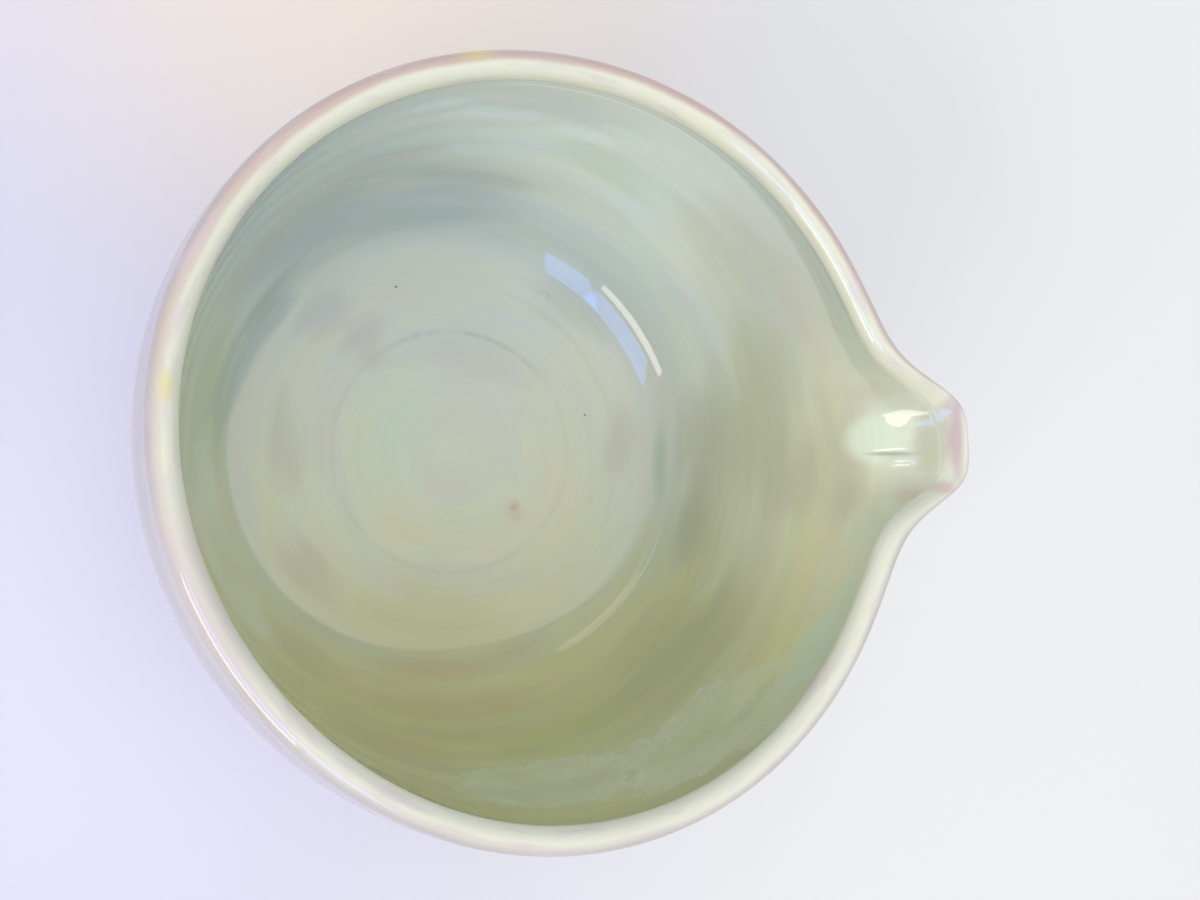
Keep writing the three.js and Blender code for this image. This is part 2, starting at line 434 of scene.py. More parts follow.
# Celadon, a glassy feldspar glaze: smooth enough to mirror a window, with its colour under the gloss
celadon = new_material("pearl_celadon")
cloud_size = 9 * MM
object_place = add(celadon, "TexCoord").outputs["Object"]
from_axis = add(celadon, "VectorMath", {0: object_place, 1: -wheel_axis}, operation="ADD")
x_place, y_place, z_place = add(celadon, "SeparateXYZ", {0: from_axis}).outputs
flat = add(celadon, "VectorMath", {0: from_axis, 1: (1, 1, 0)}, operation="MULTIPLY")
radius = add(celadon, "VectorMath", {0: flat}, operation="LENGTH")
wheel_turn = add(celadon, "Math", {0: y_place, 1: x_place}, operation="ARCTAN2")
ragged = add(
    celadon, "TexNoise", {"Vector": object_place, "Scale": 1 / cloud_size, "Detail": 8, "Roughness": 0.62}
)

# Streaks run round the wheel: the noise is stretched that way and closer together across it
streak_spacing = 11 * MM
calm_middle = 14 * MM
room = add(celadon, "Math", {0: radius, 1: calm_middle}, operation="ADD")
heading = add(celadon, "VectorMath", {0: flat, 1: room}, operation="DIVIDE")
across = add(celadon, "Math", {0: radius, 1: z_place}, operation="ADD")
across = add(celadon, "Math", {0: across, 1: streak_spacing}, operation="DIVIDE")
lift = add(celadon, "CombineXYZ", {2: across})
streaks = add(celadon, "VectorMath", {0: heading, 1: lift}, operation="ADD")

# Thin glaze is a cool grey-green at the back of the bowl and pools to olive at the front. The ramp also
# carries
# painted light: it is paler and bluer at the back, where the wall faces the window, and its darker olive at
# the front is partly painted shade.
olive_end = -45 * MM
cool_end = 68 * MM
drift_swing = 26 * MM
drift = add(celadon, "TexNoise", {"Vector": streaks, "Scale": 1.1, "Detail": 2})
drift = add(celadon, "Math", {0: drift, 1: drift_swing, 2: y_place}, operation="MULTIPLY_ADD")
drift = add(celadon, "MapRange", {"Value": drift, "From Min": olive_end, "From Max": cool_end})
glaze_and_light_stops = (
    (0.0, "#bdbe86"),
    (0.2, "#cfcf9c"),
    (0.42, "#dfe1c6"),
    (0.62, "#e0e5d8"),
    (0.78, "#d8e4e5"),
    (1.0, "#e9f5f9"),
)


def set_stops(ramp, stops):
    ramp.color_ramp.elements[0].position = stops[0][0]
    ramp.color_ramp.elements[1].position = stops[-1][0]
    for position, _ in stops[1:-1]:
        ramp.color_ramp.elements.new(position)
    for stop, (_, colour) in zip(ramp.color_ramp.elements, stops):
        stop.color = linear(colour)


colour = add(celadon, "ValToRGB", {"Fac": drift})
set_stops(colour, glaze_and_light_stops)

# The floor is paler than the wall as far as its low step, partly its glaze and partly painted light on the
# floor that faces the sky. Just beyond the step a darker grey-green band is partly greener glaze and partly
# painted shade in the corner where the floor turns up into the wall.
# The even radius is the one that a point would have if the step ran in a true circle.
floor_paleness = 0.34
beyond_strength = 0.3
sharp_edge = 0.4 * MM
faded_edge = 5.5 * MM
off_dip = add(celadon, "Math", {0: wheel_turn, 1: np.radians(edge_dip_turn)}, operation="SUBTRACT")
off_dip = add(celadon, "Math", {0: off_dip, 1: np.pi, 2: -np.pi}, operation="WRAP")
off_dip = add(celadon, "Math", {0: off_dip, 1: np.radians(edge_dip_width)}, operation="DIVIDE")
off_dip = add(celadon, "Math", {0: off_dip, 1: 2}, operation="POWER")
off_dip = add(celadon, "Math", {0: off_dip, 1: -1}, operation="MULTIPLY")
dip = add(celadon, "Math", {0: off_dip}, operation="EXPONENT")
even_radius = add(celadon, "Math", {0: dip, 1: edge_dip * MM, 2: radius}, operation="MULTIPLY_ADD")
to_back_right = add(celadon, "VectorMath", {0: flat, 1: (0.6, 1, 0)}, operation="DOT_PRODUCT")
edge_blur = add(
    celadon,
    "MapRange",
    {
        "Value": to_back_right,
        "From Min": -12 * MM,
        "From Max": 28 * MM,
        "To Min": sharp_edge,
        "To Max": faded_edge,
    },
)
outer_edge = add(celadon, "Math", {0: edge_radius * MM, 1: edge_blur}, operation="ADD")
inner_edge = add(celadon, "Math", {0: edge_radius * MM, 1: edge_blur}, operation="SUBTRACT")
on_floor = add(
    celadon,
    "MapRange",
    {"Value": even_radius, "From Min": outer_edge, "From Max": inner_edge, "To Max": floor_paleness},
    interpolation_type="SMOOTHSTEP",
)
colour = add(celadon, "Mix", {"Factor": on_floor, 6: colour, 7: linear("#f5f3e0")}, data_type="RGBA")
beyond_floor = add(
    celadon,
    "MapRange",
    {"Value": even_radius, "From Min": (edge_radius + 8) * MM, "From Max": (edge_radius - 0.5) * MM},
)
corner_glaze_and_shade = add(
    celadon, "MapRange", {"Value": on_floor, "From Max": floor_paleness, "To Min": 1, "To Max": 0}
)
corner_glaze_and_shade = add(celadon, "Math", {0: beyond_floor, 1: corner_glaze_and_shade}, operation="MULTIPLY")
corner_glaze_and_shade = add(celadon, "Math", {0: corner_glaze_and_shade, 1: beyond_strength}, operation="MULTIPLY")
colour = add(celadon, "Mix", {"Factor": corner_glaze_and_shade, 6: colour, 7: linear("#9dae98")}, data_type="RGBA")

# Mother-of-pearl: slow clouds of lilac, blue, mint, straw and rose
pearl_strength = 0.2
hue = add(celadon, "TexNoise", {"Vector": streaks, "Scale": 0.8, "Detail": 5, "Roughness": 0.55})
pearl = add(celadon, "ValToRGB", {"Fac": hue})
pearl_stops = (
    (0.30, "#c9bcd0"),
    (0.42, "#bccad6"),
    (0.50, "#cfdccb"),
    (0.58, "#dedab0"),
    (0.70, "#dfc0b4"),
)
set_stops(pearl, pearl_stops)
colour = add(celadon, "Mix", {"Factor": pearl_strength, 6: colour, 7: pearl}, data_type="RGBA")


def stain(material, under, place, turn, radius, height, reach, tint, strength, edge=0.7):
    """Tints the colour under it round one place: how far it reaches outwards, round the wheel and up."""
    middle = (radius * MM * np.cos(np.radians(turn)), radius * MM * np.sin(np.radians(turn)), height * MM)
    local = add(
        material,
        "Mapping",
        {
            "Vector": place,
            "Location": middle,
            "Rotation": (0, 0, np.radians(turn)),
            "Scale": np.array(reach) * MM,
        },
        vector_type="TEXTURE",
    )
    away = add(material, "VectorMath", {0: local}, operation="LENGTH")
    share = add(
        material,
        "MapRange",
        {"Value": away, "From Min": 1 + edge / 2, "From Max": 1 - edge, "To Max": strength},
        interpolation_type="SMOOTHSTEP",
    )
    return add(material, "Mix", {"Factor": share, 6: under, 7: linear(tint)}, data_type="RGBA")


# Stains keep to the same places as on the bowl, and a coarse noise pulls their edges about. Some are painted
# light
# and shade: the pale one at 42 degrees is painted light on the wall that faces the window, and the olive ones
# on the front wall are partly painted shade.
# Each is a turn, a radius and a height, its reach outwards, round the wheel and up, a tint and a strength.
pull = 15 * MM
swirl = add(celadon, "TexNoise", {"Vector": streaks, "Scale": 1.2, "Detail": 3}).outputs["Color"]
swirl = add(celadon, "VectorMath", {0: swirl, 1: (0.5, 0.5, 0.5)}, operation="SUBTRACT")
pulled = add(celadon, "VectorMath", {0: swirl, 1: (pull, pull, pull), 2: from_axis}, operation="MULTIPLY_ADD")
stains_and_painted_light = (
    (128, 51, 26, (5, 22, 10), "#bcc3d0", 0.50),
    (100, 47, 19, (5, 24, 5), "#bccdd2", 0.45),
    (92, 50.5, 28, (4, 20, 7), "#b7c0c4", 0.45),
    (50, 40, 14, (6, 11, 4), "#c3cdc4", 0.50),
    (114, 53, 38, (4, 24, 5), "#cdc8cd", 0.45),
    (152, 44.5, 16.5, (2.2, 22, 3), "#aebfc0", 0.60),
    (170, 49, 21, (5, 20, 12), "#bccbaa", 0.50),
    (88, 55, 62, (5, 24, 8), "#d2d1d4", 0.45),
    (66, 53.7, 47, (5, 16, 7), "#c9dfc4", 0.35),
    (57, 54, 48, (5, 8, 6), "#dcefea", 0.50),
    (42, 54, 42, (5, 14, 12), "#e9ecdf", 0.55),
    (30, 55, 52, (6, 24, 18), "#c9c8ba", 0.50),
    (1, 50, 24, (6, 14, 8), "#b8b3a2", 0.45),
    (4, 54, 40, (6, 22, 16), "#b2b498", 0.58),
    (-20, 50, 24, (5, 12, 8), "#acae90", 0.45),
    (-50, 54, 36, (5, 24, 14), "#abaf88", 0.50),
    (-78, 55, 38, (5, 14, 8), "#b2bd7e", 0.45),
    (-98, 47, 20, (5, 22, 6), "#b5aa80", 0.30),
    (-112, 55, 42, (5, 14, 7), "#b8a487", 0.35),
    (-130, 47, 19, (4, 11, 5), "#ada080", 0.30),
    (-8, 57, 52, (5, 8, 7), "#bdb9a2", 0.50),
    (-4, 58, 60, (5, 13, 8), "#a9ab8f", 0.45),
    (104, 56, 50, (4, 20, 6), "#dbe6e6", 0.40),
    (127, 28, 13, (6, 5, 6), "#cbbfbe", 0.36),
    (134, 38, 14, (5, 7, 6), "#cac8ce", 0.45),
    (165, 13, 12, (9, 14, 6), "#d6ecd4", 0.45),
    (70, 21, 12, (6, 12, 6), "#cfc9c6", 0.22),
    (176, 33, 13.5, (5, 10, 5), "#cdc7b4", 0.40),
    (0, 36, 13.6, (5, 9, 5), "#cdc5b8", 0.45),
    (-100, 33, 13.5, (7, 22, 5), "#d3cf9f", 0.50),
    (-140, 36, 13.7, (4, 8, 5), "#cdbfa6", 0.40),
)
for turn, out_to, up_to, reach, tint, strength in stains_and_painted_light:
    colour = stain(celadon, colour, pulled, turn, out_to, up_to, reach, tint, strength)

# Brushed streaks of white under the lip at the back, and cooler ones at the front, with torn edges
tear = 9 * MM
torn = add(celadon, "VectorMath", {0: ragged.outputs["Color"], 1: (0.5, 0.5, 0.5)}, operation="SUBTRACT")
torn = add(celadon, "VectorMath", {0: torn, 1: (tear, tear, tear), 2: from_axis}, operation="MULTIPLY_ADD")
streak_stains = (
    (106, 54, 63, (6, 5, 2.6), "#e8f5fb", 0.70),
    (97, 54, 57.5, (6, 7, 3.4), "#e8f5fb", 0.90),
    (90, 54, 57.0, (6, 5, 2.2), "#e4f3f8", 0.65),
    (82, 53.7, 51.5, (6, 5, 2.8), "#e6f5f4", 0.75),
    (76, 54, 55, (6, 7, 3.2), "#e8f5f8", 0.90),
    (69, 54, 60, (6, 6, 2.6), "#e6f4f4", 0.75),
    (63, 54, 64, (6, 4, 2.2), "#e2f0f0", 0.60),
    (-175, 48, 19.8, (4, 8, 2.8), "#d9e2d0", 0.50),
    (-147, 50, 23.5, (4, 7.5, 5), "#d6e0cc", 0.50),
    (-140, 53.5, 37, (4, 3, 9), "#d6e0cc", 0.45),
    (-38, 59.2, 69, (5, 15, 4), "#b2d2c4", 0.42),
    (-60, 58.6, 59, (5, 7, 2.2), "#96a986", 0.28),
    (-52, 59.3, 62.5, (5, 7, 2.2), "#96a986", 0.28),
)
for turn, out_to, up_to, reach, tint, strength in streak_stains:
    colour = stain(celadon, colour, torn, turn, out_to, up_to, reach, tint, strength, edge=0.5)

# The thick pool in the spout is a milky mint, with rose and tan beside it, and the dark line in its crease is
# painted shade. By the floor's step the glaze pooled brown at the front, partly painted shade in the corner,
# and green at the right.
pool_stains_and_shade = (
    (-1.3, 65.5, 66, (8.5, 5.2, 9), "#eaf6e4", 0.75, 0.3),
    (-10.5, 68.0, 72, (4.5, 2.2, 5), "#c9aa9c", 0.50, 0.9),
    (-3.5, 71, 71, (3.8, 4.2, 5), "#c2bfa4", 0.65, 0.8),
    (-3.6, 65.5, 66, (3.6, 0.45, 7), "#8d9a84", 0.55, 0.8),
    (6, 60.5, 68, (4, 2.2, 5), "#cdb8ab", 0.35, 0.9),
    (-97, 42.3, 15.5, (2.2, 12, 4), "#ccb282", 0.50, 0.9),
    (-4, 43.8, 16, (1.4, 9, 4), "#a3c0a0", 0.50, 0.9),
    (-78, 41.8, 15, (2.0, 8, 4), "#c4bb86", 0.45, 0.9),
)
for turn, out_to, up_to, reach, tint, strength, soft_edge in pool_stains_and_shade:
    colour = stain(celadon, colour, from_axis, turn, out_to, up_to, reach, tint, strength, soft_edge)


def patch(middle, half_turn, height, half_height):
    """How far out of a patch with a ragged edge: degrees from the spout, and millimetres up."""
    beside = add(celadon, "Math", {0: wheel_turn, 1: np.radians(middle)}, operation="SUBTRACT")
    beside = add(celadon, "Math", {0: beside, 1: np.pi, 2: -np.pi}, operation="WRAP")
    beside = add(celadon, "Math", {0: beside, 1: np.radians(half_turn)}, operation="DIVIDE")
    above = add(celadon, "Math", {0: z_place, 1: height * MM}, operation="SUBTRACT")
    above = add(celadon, "Math", {0: above, 1: half_height * MM}, operation="DIVIDE")
    both = add(celadon, "CombineXYZ", {0: beside, 1: above})
    return add(celadon, "VectorMath", {0: both}, operation="LENGTH")


# Milky patches under the lip: thin inside, thicker at the ragged edge where they stopped running
milky_patches = ((-87, 15, 54, 10), (-60, 15, 60, 11), (-38, 24, 68, 7), (-128, 9, 60, 6))
mica_size = 0.8 * MM
thin_spot_size = 6 * MM
beyond_patches = 9.0
tearing = 1.5
for milky_patch in milky_patches:
    beyond_patches = add(celadon, "Math", {0: beyond_patches, 1: patch(*milky_patch)}, operation="MINIMUM")
torn_out = add(celadon, "Math", {0: ragged, 1: tearing, 2: beyond_patches}, operation="MULTIPLY_ADD")
milky = add(celadon, "MapRange", {"Value": torn_out, "From Min": 0.5, "From Max": 1.95})
milky = add(celadon, "ValToRGB", {"Fac": milky})
set_stops(milky, ((0.0, "#8a8a8a"), (0.62, "#a4a4a4"), (0.84, "#c8c8c8"), (0.93, "#000000")))
mica = add(celadon, "TexNoise", {"Vector": object_place, "Scale": 1 / mica_size, "Detail": 2})
grain = add(
    celadon, "MapRange", {"Value": mica, "From Min": 0.3, "From Max": 0.7, "To Min": 0.55, "To Max": 1.3}
)
thin_spots = add(celadon, "TexNoise", {"Vector": object_place, "Scale": 1 / thin_spot_size, "Detail": 4})
thin_spots = add(
    celadon, "MapRange", {"Value": thin_spots, "From Min": 0.35, "From Max": 0.62, "To Min": 0.45}
)
milky = add(celadon, "Math", {0: milky, 1: grain}, operation="MULTIPLY")
milky = add(celadon, "Math", {0: milky, 1: thin_spots}, operation="MULTIPLY")
colour = add(celadon, "Mix", {"Factor": milky, 6: colour, 7: linear("#cfdecb")}, data_type="RGBA")

# Towards the lip the two glazes run into each other, over the last half a millimetre
seam_place = add(celadon, "Attribute", attribute_name="along_profile").outputs["Fac"]
to_lip = add(
    celadon,
    "MapRange",
    {"Value": seam_place, "From Min": 0.5, "From Max": 0.0},
    interpolation_type="SMOOTHSTEP",
)
colour = add(celadon, "Mix", {"Factor": to_lip, 6: colour, 7: linear("#dcdfce")}, data_type="RGBA")
colour = stain(celadon, colour, from_axis, -1.5, 69.8, 73, (2.6, 6.5, 5), "#c3c8b2", 0.80, edge=0.5)

# Under the lip the glaze is painted darker, deepest down beside the spout: painted shade in the undercut
undercut_middle = np.radians(36)
undercut_shade_strength = 0.34
back_depth = 1.4
spout_side_depth = 5.2
beside_spout = add(celadon, "Math", {0: wheel_turn, 1: undercut_middle}, operation="SUBTRACT")
beside_spout = add(celadon, "Math", {0: beside_spout}, operation="ABSOLUTE")
beside_spout = add(
    celadon,
    "MapRange",
    {"Value": beside_spout, "From Min": np.radians(45), "From Max": np.radians(10)},
    interpolation_type="SMOOTHSTEP",
)
shade_start = add(
    celadon,
    "MapRange",
    {
        "Value": wheel_turn,
        "From Min": np.radians(72),
        "From Max": np.radians(20),
        "To Min": back_depth,
        "To Max": spout_side_depth,
    },
)
shade_end = add(celadon, "Math", {0: ragged, 1: 3.0, 2: shade_start}, operation="MULTIPLY_ADD")
undercut_shade = add(
    celadon,
    "MapRange",
    {"Value": seam_place, "From Min": shade_end, "From Max": shade_start, "To Max": undercut_shade_strength},
    interpolation_type="SMOOTHSTEP",
)
undercut_shade = add(celadon, "Math", {0: undercut_shade, 1: beside_spout}, operation="MULTIPLY")
off_seam = add(celadon, "Math", {0: 1.0, 1: to_lip}, operation="SUBTRACT")
undercut_shade = add(celadon, "Math", {0: undercut_shade, 1: off_seam}, operation="MULTIPLY")
colour = add(celadon, "Mix", {"Factor": undercut_shade, 6: colour, 7: linear("#929a82")}, data_type="RGBA")

# The leaf-shaped fold beside the floor: olive, with a painted highlight along its outer line
leaf_share = add(celadon, "Math", {0: wheel_turn, 1: np.radians(leaf_turn)}, operation="SUBTRACT")
leaf_share = add(celadon, "Math", {0: leaf_share, 1: np.radians(leaf_width)}, operation="DIVIDE")
leaf_bow = add(celadon, "Math", {0: leaf_share, 1: leaf_share}, operation="MULTIPLY")
leaf_out = add(celadon, "Math", {0: leaf_bow, 1: leaf_bend * MM, 2: radius}, operation="MULTIPLY_ADD")
leaf_fade = add(
    celadon,
    "MapRange",
    {"Value": leaf_bow, "From Min": 1.3, "From Max": 0.5},
    interpolation_type="SMOOTHSTEP",
)
leaf_inner, leaf_outer = (leaf_radius - 0.25) * MM, (leaf_radius + 0.25) * MM
inside_leaf = add(
    celadon, "MapRange", {"Value": leaf_out, "From Min": leaf_outer, "From Max": leaf_inner, "To Max": 0.6}
)
off_floor = add(
    celadon,
    "MapRange",
    {"Value": even_radius, "From Min": (edge_radius - 1.5) * MM, "From Max": (edge_radius + 2) * MM},
    interpolation_type="SMOOTHSTEP",
)
leaf = add(celadon, "Math", {0: inside_leaf, 1: off_floor}, operation="MULTIPLY")
leaf = add(celadon, "Math", {0: leaf, 1: leaf_fade}, operation="MULTIPLY")
colour = add(celadon, "Mix", {"Factor": leaf, 6: colour, 7: linear("#cfd1a2")}, data_type="RGBA")
leaf_edge_highlight = add(celadon, "Math", {0: leaf_out, 1: (leaf_radius - 0.4) * MM}, operation="SUBTRACT")
leaf_edge_highlight = add(celadon, "Math", {0: leaf_edge_highlight}, operation="ABSOLUTE")
leaf_edge_highlight = add(
    celadon, "MapRange", {"Value": leaf_edge_highlight, "From Min": 0.5 * MM, "From Max": 0.1 * MM, "To Max": 0.15}
)
leaf_edge_highlight = add(celadon, "Math", {0: leaf_edge_highlight, 1: leaf_fade}, operation="MULTIPLY")
colour = add(celadon, "Mix", {"Factor": leaf_edge_highlight, 6: colour, 7: linear("#e3e6cd")}, data_type="RGBA")

# The ring round the hollow, worn in places and darkest at the back
ring_half_width = 0.9 * MM
ring = add(celadon, "Math", {0: radius, 1: pool_radius * MM}, operation="SUBTRACT")
ring = add(celadon, "Math", {0: ring}, operation="ABSOLUTE")
ring = add(
    celadon,
    "MapRange",
    {"Value": ring, "From Min": ring_half_width, "From Max": 0},
    interpolation_type="SMOOTHSTEP",
)
ring_side = add(
    celadon,
    "MapRange",
    {"Value": y_place, "From Min": 12 * MM, "From Max": 24 * MM, "To Min": 0.12, "To Max": 0.34},
)
ring_wear = add(celadon, "MapRange", {"Value": ragged, "From Min": 0.40, "From Max": 0.62, "To Min": 0.2})
ring = add(celadon, "Math", {0: ring, 1: ring_side}, operation="MULTIPLY")
ring = add(celadon, "Math", {0: ring, 1: ring_wear}, operation="MULTIPLY")
colour = add(celadon, "Mix", {"Factor": ring, 6: colour, 7: linear("#a0958f")}, data_type="RGBA")

# Throwing lines 1.4 mm apart, a breath darker than the rest
line_spacing = 1.4 * MM
line_strength = 0.045
line_noise = add(celadon, "CombineXYZ", {0: across})
lines = add(celadon, "TexNoise", {"Vector": line_noise, "Scale": streak_spacing / line_spacing, "Detail": 3})
lines = add(celadon, "MapRange", {"Value": lines, "From Min": 0.3, "From Max": 0.7, "To Max": line_strength})
colour = add(celadon, "Mix", {"Factor": lines, 6: colour, 7: linear("#8f9580")}, data_type="RGBA")

# Iron specks from the clay, a third of a millimetre across and a thumb's breadth apart
speck_spacing = 22 * MM
speck_core = 0.16 * MM / speck_spacing
speck_rim = 0.3 * MM / speck_spacing
specks = add(celadon, "TexVoronoi", {"Vector": object_place, "Scale": 1 / speck_spacing})
speck = add(
    celadon,
    "MapRange",
    {"Value": specks, "From Min": speck_core, "From Max": speck_rim, "To Min": 0.75, "To Max": 0},
)
colour = add(celadon, "Mix", {"Factor": speck, 6: colour, 7: linear("#5d5a4e")}, data_type="RGBA")
for turn, out_to, up_to, size in ((109, 34.4, 13.6, 0.24), (14.5, 29.2, 13, 0.22)):
    colour = stain(celadon, colour, from_axis, turn, out_to, up_to, (size, size, 2), "#3f3c36", 0.85)

# A blush round the burst bubble. Where the glaze is milky it is also less smooth
colour = stain(celadon, colour, from_axis, -45, 17.6, 12, (2.6, 2.0, 3), "#d8b19f", 0.35, edge=0.95)
gloss = add(celadon, "MapRange", {"Value": milky, "To Min": 0.03, "To Max": 0.2})
celadon_shader = add(celadon, "BsdfPrincipled", {"Base Color": colour, "Roughness": gloss, "IOR": 1.5})
add(celadon, "OutputMaterial", {"Surface": celadon_shader})
inside_coat.data.materials.append(celadon)
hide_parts("inside_glaze")
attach(inside_coat, "root")

# The outside glaze.
# The bowl is dipped in a creamy white glaze that covers the outside, the lip and the spout.
# It runs thin and round over the lip and ends in a soft roll above the foot, with pink and lilac lustre.
outside = outside_profile(32, 80, 32)
outside_loop = np.concatenate([outside, under_outside[::-1]])
outside_path = np.concatenate([[0], np.cumsum(np.linalg.norm(np.diff(outside, axis=0), axis=1))])[:, None]
from_lip = outside_path[-1] - outside_path
hem_height = foot_height + bare_band
hem_fade = 5
roll_height = 0.16
wall_ring_spacing = 7.4
wall_ring_height = 0.035
belly_height = 0.85
belly_turn = -150
belly_half_turn = 55


def dipped(radius, angle, height):
    """The lower edge of the glaze wanders up the wall, along its slope there."""
    wander = 0.4 + 0.25 * np.cos(3 * angle + 0.6) + 0.1 * np.cos(7 * angle + 2) + 0.05 * np.cos(17 * angle)
    wander = wander * (1 - smoothstep(height, hem_height, hem_height + hem_fade))
    slope = (outside[1] - outside[0]) / np.linalg.norm(outside[1] - outside[0])
    return handmade(radius + wander * slope[0], angle, height + wander * slope[1])


# The wall is a little fuller under the lip at the front left, where the hand held it while it was pulled
roll = roll_height * hump(outside_path - 0.9, 0.9)
wall_rings = np.cos(2 * np.pi * outside_path / wall_ring_spacing - angle) * between(outside_path, 6, 62, 5)
off_belly = np.degrees(np.abs(np.angle(np.exp(1j * (angle - np.radians(belly_turn))))))
belly = smoothstep(from_lip, 7, 15) * (1 - smoothstep(from_lip, 24, 52)) * hump(off_belly, belly_half_turn)
outside_relief = roll + wall_ring_height * wall_rings + belly_height * belly
outside_relief = np.concatenate([outside_relief, np.zeros((len(under_outside), glaze_steps))])
over_lip = np.concatenate([from_lip[:, 0], np.zeros(len(under_outside))])
outside_coat = turned("outside_coat", outside_loop, glaze_steps, outside_relief, over_lip, by_hand=dipped)

# Cream glaze, dipped: glassy, and whitest on the rounded lip, where it lies thick. The grey down the lip's
# outer side is painted shade under the lip.
cream = new_material("cream_glaze")
cream_place = add(cream, "TexCoord").outputs["Object"]
cream_from_axis = add(cream, "VectorMath", {0: cream_place, 1: -wheel_axis}, operation="ADD")
over_the_lip = add(cream, "Attribute", attribute_name="along_profile").outputs["Fac"]
wavering_size = 14 * MM
wavering_swing = 1.4
wavering = add(cream, "TexNoise", {"Vector": cream_place, "Scale": 1 / wavering_size, "Detail": 3})
over_the_lip = add(cream, "Math", {0: wavering, 1: wavering_swing, 2: over_the_lip}, operation="MULTIPLY_ADD")
lip_share = add(cream, "MapRange", {"Value": over_the_lip, "From Min": 0.7, "From Max": 10.7})
lip_and_shade_stops = (
    (0.0, "#dcdfce"),
    (0.05, "#e5e7d7"),
    (0.36, "#e8ebd8"),
    (0.46, "#d9d7cf"),
    (0.57, "#bfbdbb"),
    (1.0, "#b6b5b4"),
)
colour = add(cream, "ValToRGB", {"Fac": lip_share})
set_stops(colour, lip_and_shade_stops)

# Rose lustre along the outer side of the lip, strongest at the back
rose = add(cream, "ValToRGB", {"Fac": lip_share})
set_stops(rose, ((0.33, "#000000"), (0.41, "#ffffff"), (0.52, "#ffffff"), (0.64, "#000000")))
to_back = add(cream, "VectorMath", {0: cream_from_axis, 1: (0.1, 1, 0)}, operation="DOT_PRODUCT")
to_back = add(
    cream,
    "MapRange",
    {"Value": to_back, "From Min": -20 * MM, "From Max": 45 * MM, "To Min": 0.08, "To Max": 0.8},
)
rose = add(cream, "Math", {0: rose, 1: to_back}, operation="MULTIPLY")
colour = add(cream, "Mix", {"Factor": rose, 6: colour, 7: linear("#d1b6ac")}, data_type="RGBA")

# Below its shoulder the wall is creamier, with less lilac
lower_wall = add(
    cream,
    "MapRange",
    {"Value": over_the_lip, "From Min": 15, "From Max": 34, "To Max": 0.8},
    interpolation_type="SMOOTHSTEP",
)
colour = add(cream, "Mix", {"Factor": lower_wall, 6: colour, 7: linear("#d9d6c8")}, data_type="RGBA")

# The lilac lies in brush strokes round the bowl, 1.4 mm wide and a sixth of a radian long
strokes_per_mm = 0.7
stroke_turn = 0.16
cream_flat = add(cream, "VectorMath", {0: cream_from_axis, 1: (1, 1, 0)}, operation="MULTIPLY")
cream_radius = add(cream, "VectorMath", {0: cream_flat}, operation="LENGTH")
stroke_length = add(cream, "Math", {0: cream_radius, 1: stroke_turn}, operation="MULTIPLY")
along_stroke = add(cream, "VectorMath", {0: cream_flat, 1: stroke_length}, operation="DIVIDE")
across_stroke = add(cream, "Math", {0: over_the_lip, 1: strokes_per_mm}, operation="MULTIPLY")
across_stroke = add(cream, "CombineXYZ", {2: across_stroke})
brushed = add(cream, "VectorMath", {0: along_stroke, 1: across_stroke}, operation="ADD")
brushed = add(cream, "TexNoise", {"Vector": brushed, "Scale": 1.0, "Detail": 4})
brushed = add(cream, "MapRange", {"Value": brushed, "From Min": 0.52, "From Max": 0.7, "To Max": 0.55})
less_brushed = add(cream, "Math", {0: lower_wall, 1: -0.7, 2: 1.0}, operation="MULTIPLY_ADD")
brushed = add(cream, "Math", {0: brushed, 1: less_brushed}, operation="MULTIPLY")
colour = add(cream, "Mix", {"Factor": brushed, 6: colour, 7: linear("#d9cbd3")}, data_type="RGBA")

# Lustre on the outside: clouds of lilac, rose and straw, from the shoulder under the lip downwards
lustre_size = 32 * MM
lustre = add(cream, "TexNoise", {"Vector": cream_place, "Scale": 1 / lustre_size, "Detail": 6})
lustre = add(cream, "ValToRGB", {"Fac": lustre})
set_stops(lustre, ((0.34, "#d9ddd4"), (0.46, "#dccfd0"), (0.56, "#cfcbd8"), (0.70, "#dfdccb")))
flank = add(
    cream,
    "MapRange",
    {"Value": over_the_lip, "From Min": 5.2, "From Max": 9, "To Max": 0.4},
    interpolation_type="SMOOTHSTEP",
)
colour = add(cream, "Mix", {"Factor": flank, 6: colour, 7: lustre}, data_type="RGBA")

# Lilac and rose on the spout's pouring edge, a pink bloom at the left and two straw-yellow spots
lip_stains = (
    (-1.5, 71.4, 73, (2.3, 6.2, 5), "#c3c8b2", 0.85, 0.5),
    (-1.5, 74.1, 74, (1.35, 7.6, 5), "#c4a6b4", 0.75, 0.7),
    (3.2, 73.3, 74, (1.7, 2.6, 5), "#bfa8c0", 0.50, 0.7),
    (-8.6, 71.2, 74, (3.0, 1.4, 5), "#cfaea6", 0.40, 0.7),
    (-157, 56.5, 76, (4, 17, 5), "#d9cccd", 0.55, 0.7),
    (174.3, 56.6, 76, (1.2, 2.4, 3), "#e8e0a8", 0.80, 0.7),
    (103, 57.0, 76, (1.5, 3.4, 3), "#e4d893", 0.80, 0.9),
)
for turn, out_to, up_to, reach, tint, strength, soft_edge in lip_stains:
    colour = stain(cream, colour, cream_from_axis, turn, out_to, up_to, reach, tint, strength, soft_edge)
cream_shader = add(cream, "BsdfPrincipled", {"Base Color": colour, "Roughness": 0.04, "IOR": 1.5})
add(cream, "OutputMaterial", {"Surface": cream_shader})
outside_coat.data.materials.append(cream)
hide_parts("outside_glaze")
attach(outside_coat, "root")

